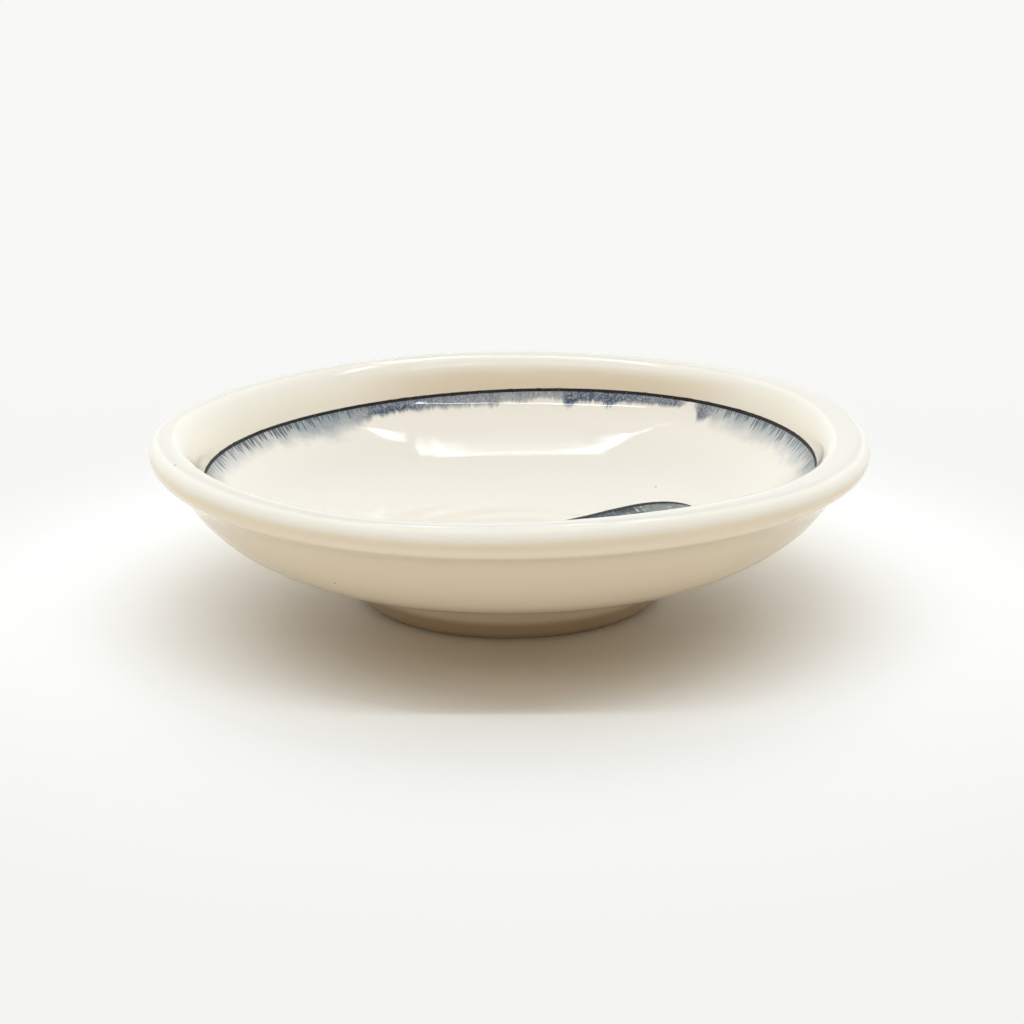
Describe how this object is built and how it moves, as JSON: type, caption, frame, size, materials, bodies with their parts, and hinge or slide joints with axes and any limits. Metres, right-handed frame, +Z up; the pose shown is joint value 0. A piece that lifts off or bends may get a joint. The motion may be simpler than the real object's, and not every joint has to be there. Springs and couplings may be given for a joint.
{
  "type": "soy sauce dish",
  "caption": "Small round footed dish of glazed stoneware with a rolled rim, a dark line and a run of blue at the top of its well, and a brushed leaf spray on the floor.",
  "frame": {"origin": "centre of the foot ring's standing edge, on the table", "axes": "+Z up along the axis that the dish was turned about; +X to the right and +Y away from the viewer in the picture"},
  "size_m": [0.1054, 0.1054, 0.0257],
  "materials": {
    "clay": "fired clay, matt",
    "bare_foot": "bare fired clay, matt and finely gritty",
    "ivory_glaze": "glossy ivory glaze",
    "dark_line": "brown black line, slightly rough",
    "blue_run": "glossy ivory glaze with streaks of running blue",
    "well_glaze": "glossy ivory glaze with small specks",
    "slate_wash": "slate blue wash under gloss",
    "dark_stroke": "dark brush stroke under gloss",
    "hollow_glaze": "glossy ivory glaze, thinner and warmer"
  },
  "bodies": {
    "root": {"clay_bowl": "clay", "foot_ring": "bare_foot", "outer_glaze": "ivory_glaze", "ring_line": "dark_line", "blue_run": "blue_run", "well_glaze": "well_glaze", "leaf_wash": "slate_wash", "leaf_stroke": "dark_stroke", "foot_hollow_glaze": "hollow_glaze"}
  },
  "joints": []
}
